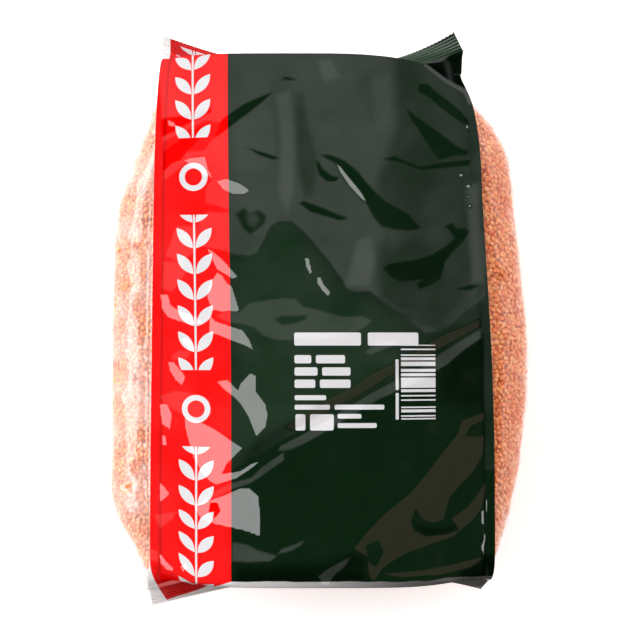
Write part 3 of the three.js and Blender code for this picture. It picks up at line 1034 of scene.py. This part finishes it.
def printed_front(material):
    """The printed sheet. Its wrinkles are low relief, and its normals carry their exact facets."""
    place = even_places(LENGTH_STEP)[:, None]
    across, root = fin_columns(PANEL_STEP)
    points = panel(place, across[None, :])
    film = print_coordinates(points, place)
    inside = smooth_step(1.0, 0.96, np.abs(across) / root)[None, :]
    share = inside * from_ends(place, 1.3, 2.0)
    own = -normals(points)
    wanted = facet_normals(points, own)
    points[..., 2] += facet_relief(points, own, wanted, share)
    off_ends = from_ends(place, 0, 1.2)
    groove = np.exp(-(((np.abs(across) - root) * HALF_WIDTH / GROOVE_WIDTH) ** 2))[None, :]
    edge_run = np.broadcast_to(across * HALF_WIDTH, points.shape[:2])
    lift = (FIN_LIFT + ripples(edge_run, points[..., 1], 9, 22, FIN_WAVER)) * (1 - inside)
    points[..., 2] += (lift - GROOVE * groove) * off_ends
    exact = smooth_step(0.15, 0.6, place) * smooth_step(LAST - 0.15, LAST - 0.7, place)
    shown = -normals(points)
    shown = shown + exact[..., None] * (wanted - shown)
    rows, columns = points.shape[:2]
    faces = grid_faces(rows, columns, flip=True)
    film = film.reshape(-1, 2)
    # The print's painted shading: the listed outlines, times painted shade along the fins' grooves.
    painted_shading = (painted_film_shading(points) * (1 - GROOVE_PAINTED_SHADE * groove * off_ends)).ravel()
    made = mesh_object("printed_front", points.reshape(-1, 3), faces, material, film, painted_shading)
    made.data.normals_split_custom_set_from_vertices(shown.reshape(-1, 3).tolist())
    return made


def seal_strip(name, material, first, last, cut_edge):
    """A crimped end seal with a zigzag cut edge, with painted shade along its crimps on the red band and
    painted highlights along its crimps on the green.
    """
    place = np.linspace(first, last, int(SEAL_DEPTH / CRIMP_STEP) + 1)[:, None]
    across = np.linspace(-1, 1, int(2 * HALF_WIDTH / SEAL_STEP) + 1)[None, :]
    points = panel(place, across)
    film = print_coordinates(points, place)
    share = np.abs(place - (first if cut_edge == last else last))
    ridges = np.sin(share * SEAL_DEPTH * 2 * math.pi / CRIMP_PITCH) * smooth_step(0, 0.12, share)
    points = points + normals(points) * (CRIMP_HEIGHT * ridges)[..., None]
    row, sign = (-1, 1) if cut_edge == last else (0, -1)
    step = np.diff(points, axis=0)[row]
    step = step / np.linalg.norm(step, axis=-1, keepdims=True)
    zigzag = (np.arange(across.shape[1]) % 4 < 2) * ZIGZAG
    points[row] += sign * step * zigzag[:, None]
    rows, columns = points.shape[:2]
    faces = grid_faces(rows, columns, flip=True)
    # Painted shading of the crimps: on the red band it darkens the print with each crimp, as shade; on
    # the green it makes light lines, as painted highlights.
    in_band = smooth_step(BAND_EDGE + 1, BAND_EDGE - 1, film[..., 0])
    on_green = GREEN_CRIMP_PAINTED_HIGHLIGHT * (1 - in_band)
    swing = (1 - CRIMP_PAINTED_SHADE) * in_band + on_green
    painted_shading = (CRIMP_PAINTED_SHADE * in_band + on_green + swing * ridges).ravel()
    film = film.reshape(-1, 2)
    made = mesh_object(name, points.reshape(-1, 3), faces, material, film, painted_shading)
    return thicken(made, SEAL_SHELL)


# Lengths of a gusset and of the back panel round the bag, and the crumples of the clear film:
# how much its run is stretched, seed, size and height
GUSSET_RUN = 80
BACK_RUN = 210
CRUMPLES = [(1.0, 21, 34, 0.35), (1.9, 22, 17, 0.22)]
SMOOTH_COLUMNS = 8


def clear_round(step):
    """The clear film's places round the bag: gusset, back panel, gusset."""
    down = np.linspace(0, 1, int(GUSSET_RUN / step) + 1)
    fin = np.linspace(1, 1 - FIN_WIDTH / HALF_WIDTH, 5)
    back = np.linspace(-fin[-1], fin[-1], int(BACK_RUN / (2 * step)) + 1)
    return down, fin, back


def clear_points(place, step):
    """Grid of the clear film, from the left front fin's tip under the bag to the right one's."""
    down, fin, back = clear_round(step)
    under = -FILM_THICKNESS * 1.5
    parts = []
    for side in ("left", "right"):
        sign = -1 if side == "left" else 1
        upper_fin = panel(place, sign * fin[None, :]) + [0, 0, under]
        wall = gusset(side, place, down[None, :])
        lower_fin = panel(place, sign * fin[None, ::-1], back=True) - [0, 0, under]
        part = [upper_fin[:, :-1], wall, lower_fin[:, 1:]]
        if side == "right":
            part = [piece[:, ::-1] for piece in part[::-1]]
        parts.append(np.concatenate(part, axis=1))
    bottom = panel(place, back[None, :], back=True)
    return np.concatenate([parts[0], bottom, parts[1]], axis=1)


def clear_bag(material):
    """The clear film of gussets and back, a little crumpled, and flat where it lies on the floor."""
    place = even_places(CLEAR_STEP)[:, None]
    points = clear_points(place, CLEAR_STEP)
    rows, columns = points.shape[:2]
    run = np.broadcast_to(np.arange(columns) * CLEAR_STEP, (rows, columns))
    length = np.broadcast_to(film_length(place), (rows, columns))
    crumple = sum(ripples(run * stretch, length, *wave) for stretch, *wave in CRUMPLES)
    smooth = np.zeros(SMOOTH_COLUMNS)
    crumpled = np.concatenate([smooth, np.ones(columns - 2 * SMOOTH_COLUMNS), smooth])
    points = points + normals(points) * (crumple * crumpled)[..., None]
    points[..., 2] = np.maximum(points[..., 2], 0)
    faces = grid_faces(rows, columns)
    return thicken(mesh_object("clear_film", points.reshape(-1, 3), faces, material))


# The heap: how far it lies behind the film, how much further under the print, how deep its end caps
# are dished, where it ends along the bag, and its reach, rows and columns
CORE_INSET = 3.4
CORE_DROP = 9.0
CAP_DEPTH = 3.0
CORE_END = 162.0
CORE_START = 1.1
CORE_REACH = 0.9
CORE_DOWN = (0.12, 0.88)
CORE_ROWS = 160
CORE_PANEL_COLUMNS = 60
CORE_GUSSET_COLUMNS = 26


def core_points(inset):
    """The heap's closed outline: the loft drawn in by an inset, and further under the print."""
    place = np.linspace(CORE_START, LAST - CORE_START, CORE_ROWS)[:, None]
    reach = np.linspace(-CORE_REACH, CORE_REACH, CORE_PANEL_COLUMNS)
    top = panel(place, reach[None, :])
    down = np.linspace(*CORE_DOWN, CORE_GUSSET_COLUMNS)
    right = gusset("right", place, down[None, :])
    bottom = panel(place, reach[None, ::-1], back=True)
    left = gusset("left", place, down[None, ::-1])
    deeper = [CORE_DROP * open_share(place) * np.ones(top.shape[1])]
    deeper.append(np.zeros((len(place), right.shape[1] + bottom.shape[1] + left.shape[1])))
    inset = inset + np.concatenate(deeper, axis=1)[..., None]
    ring = np.concatenate([top, right, bottom, left], axis=1)
    middle = ring.mean(axis=1, keepdims=True)
    wrapped = np.concatenate([ring[:, -1:], ring, ring[:, :1]], axis=1)
    out = normals(wrapped)[:, 1:-1]
    inward = np.sign(np.median(((middle - ring) * out).sum(axis=-1)))
    ring = ring + out * inward * inset
    ring[..., 1] = np.clip(ring[..., 1], -CORE_END, CORE_END)
    return ring


def lentil_core(material):
    """The heap, closed by a fan of triangles at each end."""
    ring = core_points(CORE_INSET)
    rows, columns = ring.shape[:2]
    index = np.arange(rows * columns).reshape(rows, columns)
    after = np.roll(index, -1, axis=1)
    quads = np.stack([index[:-1], index[1:], after[1:], after[:-1]], axis=-1).reshape(-1, 4)
    caps = [ring[0].mean(axis=0) - [0, CAP_DEPTH, 0], ring[-1].mean(axis=0) + [0, CAP_DEPTH, 0]]
    points = np.concatenate([ring.reshape(-1, 3), caps])
    first = np.stack([index[0], after[0], np.full(columns, rows * columns)], axis=-1)
    last = np.stack([after[-1], index[-1], np.full(columns, rows * columns + 1)], axis=-1)
    faces = quads.tolist() + first.tolist() + last.tolist()
    mesh = bpy.data.meshes.new("lentil_core")
    mesh.from_pydata((points * MM).tolist(), [], faces)
    mesh.shade_smooth()
    mesh.materials.append(material)
    return add_object("lentil_core", mesh)


# Lentils
LENTIL_RADIUS = 1.75
LENTIL_DOME = 0.9
LENTIL_SIDES = 9
LENTIL_SIZES = (0.82, 1.12)
# Rings of one lentil from its flat face to its dome, as shares of radius and of dome
LENTIL_RINGS = [(0.82, -0.42), (1.0, -0.1), (0.72, 0.62)]
LENTIL_FLAT = -0.35
MOST_LENTILS = 4.0e5


def lentil_shape():
    """One split lentil: a flat face and a domed back."""
    points = [(0, 0, LENTIL_FLAT * LENTIL_DOME)]
    for radius, height in LENTIL_RINGS:
        for side in range(LENTIL_SIDES):
            angle = 2 * math.pi * side / LENTIL_SIDES
            reach = radius * LENTIL_RADIUS
            points.append((reach * math.cos(angle), reach * math.sin(angle), height * LENTIL_DOME))
    points.append((0, 0, LENTIL_DOME))
    faces = []
    for side in range(LENTIL_SIDES):
        after = (side + 1) % LENTIL_SIDES
        faces.append((0, 1 + after, 1 + side))
        for ring in range(2):
            low = 1 + ring * LENTIL_SIDES
            high = low + LENTIL_SIDES
            faces.append((low + side, low + after, high + after, high + side))
        faces.append((1 + 2 * LENTIL_SIDES + side, 1 + 2 * LENTIL_SIDES + after, len(points) - 1))
    mesh = bpy.data.meshes.new("one_lentil")
    mesh.from_pydata([[c * MM for c in p] for p in points], [], faces)
    mesh.shade_smooth()
    return add_object("one_lentil", mesh)


def scatter_tree(material):
    """Geometry nodes: lentils at even distances over a guide surface, each turned and toned."""
    tree = bpy.data.node_groups.new("scatter lentils", "GeometryNodeTree")
    kinds = {"Guide": "Geometry", "Lentil": "Object", "Spacing": "Float", "Tilt": "Float", "Seed": "Int"}
    for name, kind in kinds.items():
        tree.interface.new_socket(name, in_out="INPUT", socket_type="NodeSocket" + kind)
    tree.interface.new_socket("Lentils", in_out="OUTPUT", socket_type="NodeSocketGeometry")
    nodes = Nodes(tree)
    given = nodes.add("NodeGroupInput").outputs
    spread = nodes.add("GeometryNodeDistributePointsOnFaces", distribute_method="POISSON")
    nodes.put(spread.inputs["Mesh"], given["Guide"])
    nodes.put(spread.inputs["Distance Min"], given["Spacing"])
    nodes.put(spread.inputs["Density Max"], MOST_LENTILS)
    nodes.put(spread.inputs["Seed"], given["Seed"])

    def draw(kind, low, high, offset):
        node = nodes.add("FunctionNodeRandomValue", data_type=kind)
        seed = nodes.math("ADD", given["Seed"], float(offset))
        for name, value in (("Min", low), ("Max", high), ("Seed", seed)):
            nodes.put([s for s in node.inputs if s.name == name and s.enabled][0], value)
        return [s for s in node.outputs if s.enabled][0]

    lean = nodes.add("ShaderNodeCombineXYZ", {0: given["Tilt"], 1: given["Tilt"], 2: math.pi}).outputs[0]
    most = nodes.add("ShaderNodeVectorMath", {0: lean, 1: (1.0, 1.0, 1.0)}, operation="MULTIPLY")
    least = nodes.add("ShaderNodeVectorMath", {0: lean, 1: (-1.0, -1.0, -1.0)}, operation="MULTIPLY")
    turn = draw("FLOAT_VECTOR", least.outputs[0], most.outputs[0], 1)
    rotate = nodes.add("FunctionNodeRotateEuler", rotation_type="EULER", space="LOCAL")
    nodes.put(rotate.inputs["Rotation"], spread.outputs["Rotation"])
    nodes.put(rotate.inputs["Rotate By"], turn)
    size = draw("FLOAT", *LENTIL_SIZES, 2)
    info = nodes.add("GeometryNodeObjectInfo", {"Object": given["Lentil"]}).outputs["Geometry"]
    place = nodes.add("GeometryNodeInstanceOnPoints")
    nodes.put(place.inputs["Points"], spread.outputs["Points"])
    nodes.put(place.inputs["Instance"], info)
    nodes.put(place.inputs["Rotation"], rotate.outputs[0])
    nodes.put(place.inputs["Scale"], size)
    tone = nodes.add("GeometryNodeStoreNamedAttribute", data_type="FLOAT", domain="INSTANCE")
    nodes.put(tone.inputs["Geometry"], place.outputs[0])
    nodes.put(tone.inputs["Name"], "tone")
    value = [s for s in tone.inputs if s.name == "Value" and s.enabled][0]
    nodes.put(value, draw("FLOAT", 0.0, 1.0, 3))
    real = nodes.add("GeometryNodeRealizeInstances", {0: tone.outputs[0]})
    painted = nodes.add("GeometryNodeSetMaterial", {"Geometry": real.outputs[0], "Material": material})
    result = nodes.add("NodeGroupOutput")
    tree.links.new(painted.outputs[0], result.inputs["Lentils"])
    return tree


def socket_id(tree, name):
    return next(item.identifier for item in tree.interface.items_tree if item.name == name)


def scatter(name, guide, material, tree, lentil, spacing, tilt, seed):
    """Lentils over a guide grid, as a plain mesh. The guide itself is dropped."""
    faces = grid_faces(*guide.shape[:2])
    base = mesh_object(name + "_guide", guide.reshape(-1, 3), faces, material)
    modifier = base.modifiers.new("lentils", "NODES")
    modifier.node_group = tree
    values = {"Lentil": lentil, "Spacing": spacing * MM, "Tilt": tilt, "Seed": seed}
    for key, value in values.items():
        modifier[socket_id(tree, key)] = value
    graph = bpy.context.evaluated_depsgraph_get()
    mesh = bpy.data.meshes.new_from_object(base.evaluated_get(graph), depsgraph=graph)
    mesh.name = name
    base.modifiers.clear()
    bpy.data.objects.remove(base)
    return add_object(name, mesh)


def inset_grid(points, inset, outward):
    """A grid of points drawn in by an inset, away from the side that outward points to."""
    out = normals(points)
    turn = np.sign((out * outward).sum(axis=-1, keepdims=True))
    return points - out * turn * inset


# Where the gussets' lentils start and end along the bag, and how far down the walls they reach
LENTIL_START = {"left": 2.7, "right": 2.25}
LENTIL_END = 1.5
LENTIL_DOWN = (0.07, 0.95)
# Layers behind a gusset: how deep each lies and its spacing
GUSSET_LAYERS = [(1.5, 2.65), (2.7, 2.65)]
GUSSET_TILT = 0.6
GUIDE_ROWS = 160
GUIDE_COLUMNS = 36
# The back's one layer, in two halves: from where it starts, how far across it reaches near the
# ends and how much further between them, its depth, spacing and tilt
BACK_START = 0.8
BACK_REACH = (0.8, 0.17)
BACK_WIDENING = (1.4, 3.2)
BACK_DEPTH = 1.5
BACK_SPACING = 2.9
BACK_TILT = 0.5
BACK_GRID = 90
BACK_SEED = 40


def lentil_layers(material):
    """Two layers of lentils behind each gusset and one behind the back panel."""
    lentil = lentil_shape()
    tree = scatter_tree(material)
    pieces = []
    for index, side in enumerate(("left", "right")):
        outward = np.array([-1.0 if side == "left" else 1.0, 0, 0])
        place = np.linspace(LENTIL_START[side], LAST - LENTIL_END, GUIDE_ROWS)[:, None]
        down = 0.5 - 0.5 * np.cos(np.linspace(*LENTIL_DOWN, GUIDE_COLUMNS) * math.pi)
        wall = gusset(side, place, down[None, :])
        for layer, (inset, spacing) in enumerate(GUSSET_LAYERS):
            name = f"lentils_{side}_{layer + 1}"
            guide = inset_grid(wall, inset, outward)
            seed = 10 * index + layer
            pieces.append(scatter(name, guide, material, tree, lentil, spacing, GUSSET_TILT, seed))
    halves = ((BACK_START, LAST / 2), (LAST / 2, LAST - BACK_START))
    for index, (low, high) in enumerate(halves):
        place = np.linspace(low, high, BACK_GRID)[:, None]
        least, more = BACK_REACH
        reach = least + more * smooth_step(*BACK_WIDENING, np.minimum(place, LAST - place))
        flat = panel(place, np.linspace(-1, 1, BACK_GRID)[None, :] * reach, back=True)
        name = f"lentils_back_{index + 1}"
        guide = inset_grid(flat, BACK_DEPTH, np.array([0, 0, -1.0]))
        seed = BACK_SEED + index
        pieces.append(scatter(name, guide, material, tree, lentil, BACK_SPACING, BACK_TILT, seed))
    bpy.data.objects.remove(lentil)
    return pieces


# Studio
CAMERA_HEIGHT = 3.0
FRAME_WIDTH = 0.4224
FRAME_PLANE = 0.05
FRAME_SHIFT = -0.00033
SENSOR_WIDTH = 36


def make_camera():
    """A camera that looks straight down, far enough away for a flat view."""
    data = bpy.data.cameras.new("camera")
    data.sensor_width = SENSOR_WIDTH
    data.lens = SENSOR_WIDTH * (CAMERA_HEIGHT - FRAME_PLANE) / FRAME_WIDTH
    camera = add_object("camera", data)
    camera.location = (0, FRAME_SHIFT, CAMERA_HEIGHT)
    bpy.context.scene.camera = camera


def soft_box(name, centre, turn, width, height, radiance):
    """A rectangular area light of even radiance."""
    data = bpy.data.lights.new(name, "AREA")
    data.shape = "RECTANGLE"
    data.size = width
    data.size_y = height
    data.energy = radiance * math.pi * width * height
    lamp = add_object(name, data)
    lamp.location = centre
    lamp.rotation_euler = turn


# The studio's sky, as seen from the bag: from y, to y and how much radiance is added between them
SKY = [(-0.04, 0.10, 0.40), (0.10, 0.22, 0.62), (0.22, 0.42, 0.65)]
# Bright window to the west and warm card to the south-east: from x, to x, from y, to y
WINDOW = (-0.63, -0.47, -0.26, 0.26)
WINDOW_LEVEL = 6.4
CARD = (0.18, 0.62, -0.62, -0.15)
CARD_COLOUR = (0.54, 0.32, 0.27)
# How bright the low sky is to the west and to the east
HORIZON_LEVELS = (2.6, 1.1)
PATCH_EDGE = 0.02


def sky_patch(nodes, x, y, edges):
    """A soft-edged rectangle of sky."""
    patch = 1.0
    for value, low, high in ((x, *edges[:2]), (y, *edges[2:])):
        patch = nodes.math("MULTIPLY", patch, nodes.ramp(value, low - PATCH_EDGE, low + PATCH_EDGE))
        patch = nodes.math("MULTIPLY", patch, nodes.ramp(value, high + PATCH_EDGE, high - PATCH_EDGE))
    return patch


def make_world():
    """A studio of pale light: grey sky to the north, brighter towards east and west."""
    world = bpy.data.worlds.new("studio")
    world.use_nodes = True
    bpy.context.scene.world = world
    nodes = Nodes(world.node_tree)
    world.node_tree.nodes.clear()
    direction = nodes.add("ShaderNodeTexCoord").outputs["Generated"]
    parts = nodes.add("ShaderNodeSeparateXYZ", {0: direction}).outputs
    x, y, z = parts["X"], parts["Y"], parts["Z"]
    sky = 0.0
    for low, high, more in SKY:
        inputs = {"Value": y, "From Min": low, "From Max": high, "To Min": 0.0, "To Max": more}
        sky = nodes.math("ADD", sky, nodes.add("ShaderNodeMapRange", inputs).outputs[0])
    sky = nodes.math("MULTIPLY", sky, nodes.ramp(z, 0.0, 0.5, 0.4, 1.0))
    window = nodes.math("MULTIPLY", sky_patch(nodes, x, y, WINDOW), WINDOW_LEVEL)
    west = nodes.ramp(x, -0.45, -0.75, 0.0, HORIZON_LEVELS[0])
    east = nodes.ramp(x, 0.45, 0.75, 0.0, HORIZON_LEVELS[1])
    horizon = nodes.math("MULTIPLY", nodes.ramp(z, 0.5, 0.2), nodes.math("ADD", west, east))
    white = nodes.math("ADD", nodes.math("ADD", sky, window), horizon)
    card = sky_patch(nodes, x, y, CARD)
    channels = [nodes.math("MULTIPLY_ADD", card, part, white) for part in CARD_COLOUR]
    colour = nodes.add("ShaderNodeCombineColor", dict(enumerate(channels))).outputs[0]
    back = nodes.add("ShaderNodeBackground", {"Color": colour, "Strength": 1.0})
    output = nodes.add("ShaderNodeOutputWorld")
    nodes.put(output.inputs["Surface"], back.outputs[0])


FLOOR_GLOW = 0.5
FLOOR_HALF = 3.0


def floor_material():
    material, nodes, output = new_material("pale floor")
    inputs = {"Base Color": (0.96, 0.96, 0.96), "Roughness": 0.8}
    inputs["Emission Color"] = (1.0, 1.0, 1.0)
    inputs["Emission Strength"] = FLOOR_GLOW
    shader = nodes.add("ShaderNodeBsdfPrincipled", inputs)
    nodes.put(output.inputs["Surface"], shader.outputs[0])
    return material


def make_floor():
    mesh = bpy.data.meshes.new("floor")
    corners = [(FLOOR_HALF * x, FLOOR_HALF * y, 0) for x, y in ((-1, -1), (1, -1), (1, 1), (-1, 1))]
    mesh.from_pydata(corners, [], [(0, 1, 2, 3)])
    mesh.materials.append(floor_material())
    floor = add_object("floor", mesh)


# Low boxes are aimed at the bag: centre, width, height, radiance
AIM = (0, 0, 0.08)
LOW = {
    "left_low": ((-1.7, 0.0, 0.6), 1.3, 0.8, 5.0),
    "right_low": ((1.8, 0.2, 0.6), 1.5, 0.8, 0.45),
}


def make_studio():
    make_camera()
    make_world()
    make_floor()
    for name, (centre, width, height, radiance) in LOW.items():
        turn = (Vector(centre) - Vector(AIM)).to_track_quat("Z", "Y").to_euler()
        soft_box(name, centre, turn, width, height, radiance)
    bpy.context.scene.view_settings.view_transform = "Standard"


def take(piece):
    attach(piece, BODY)
    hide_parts(BAG)


make_studio()
printed = printed_film()
clear = clear_film()
take(printed_front(printed))
take(seal_strip("top_seal", printed, -1.0, 0.0, -1.0))
take(seal_strip("bottom_seal", printed, float(LAST), LAST + 1.0, LAST + 1.0))
take(clear_bag(clear))
take(lentil_core(core_material()))
for lentils in lentil_layers(lentil_material()):
    take(lentils)
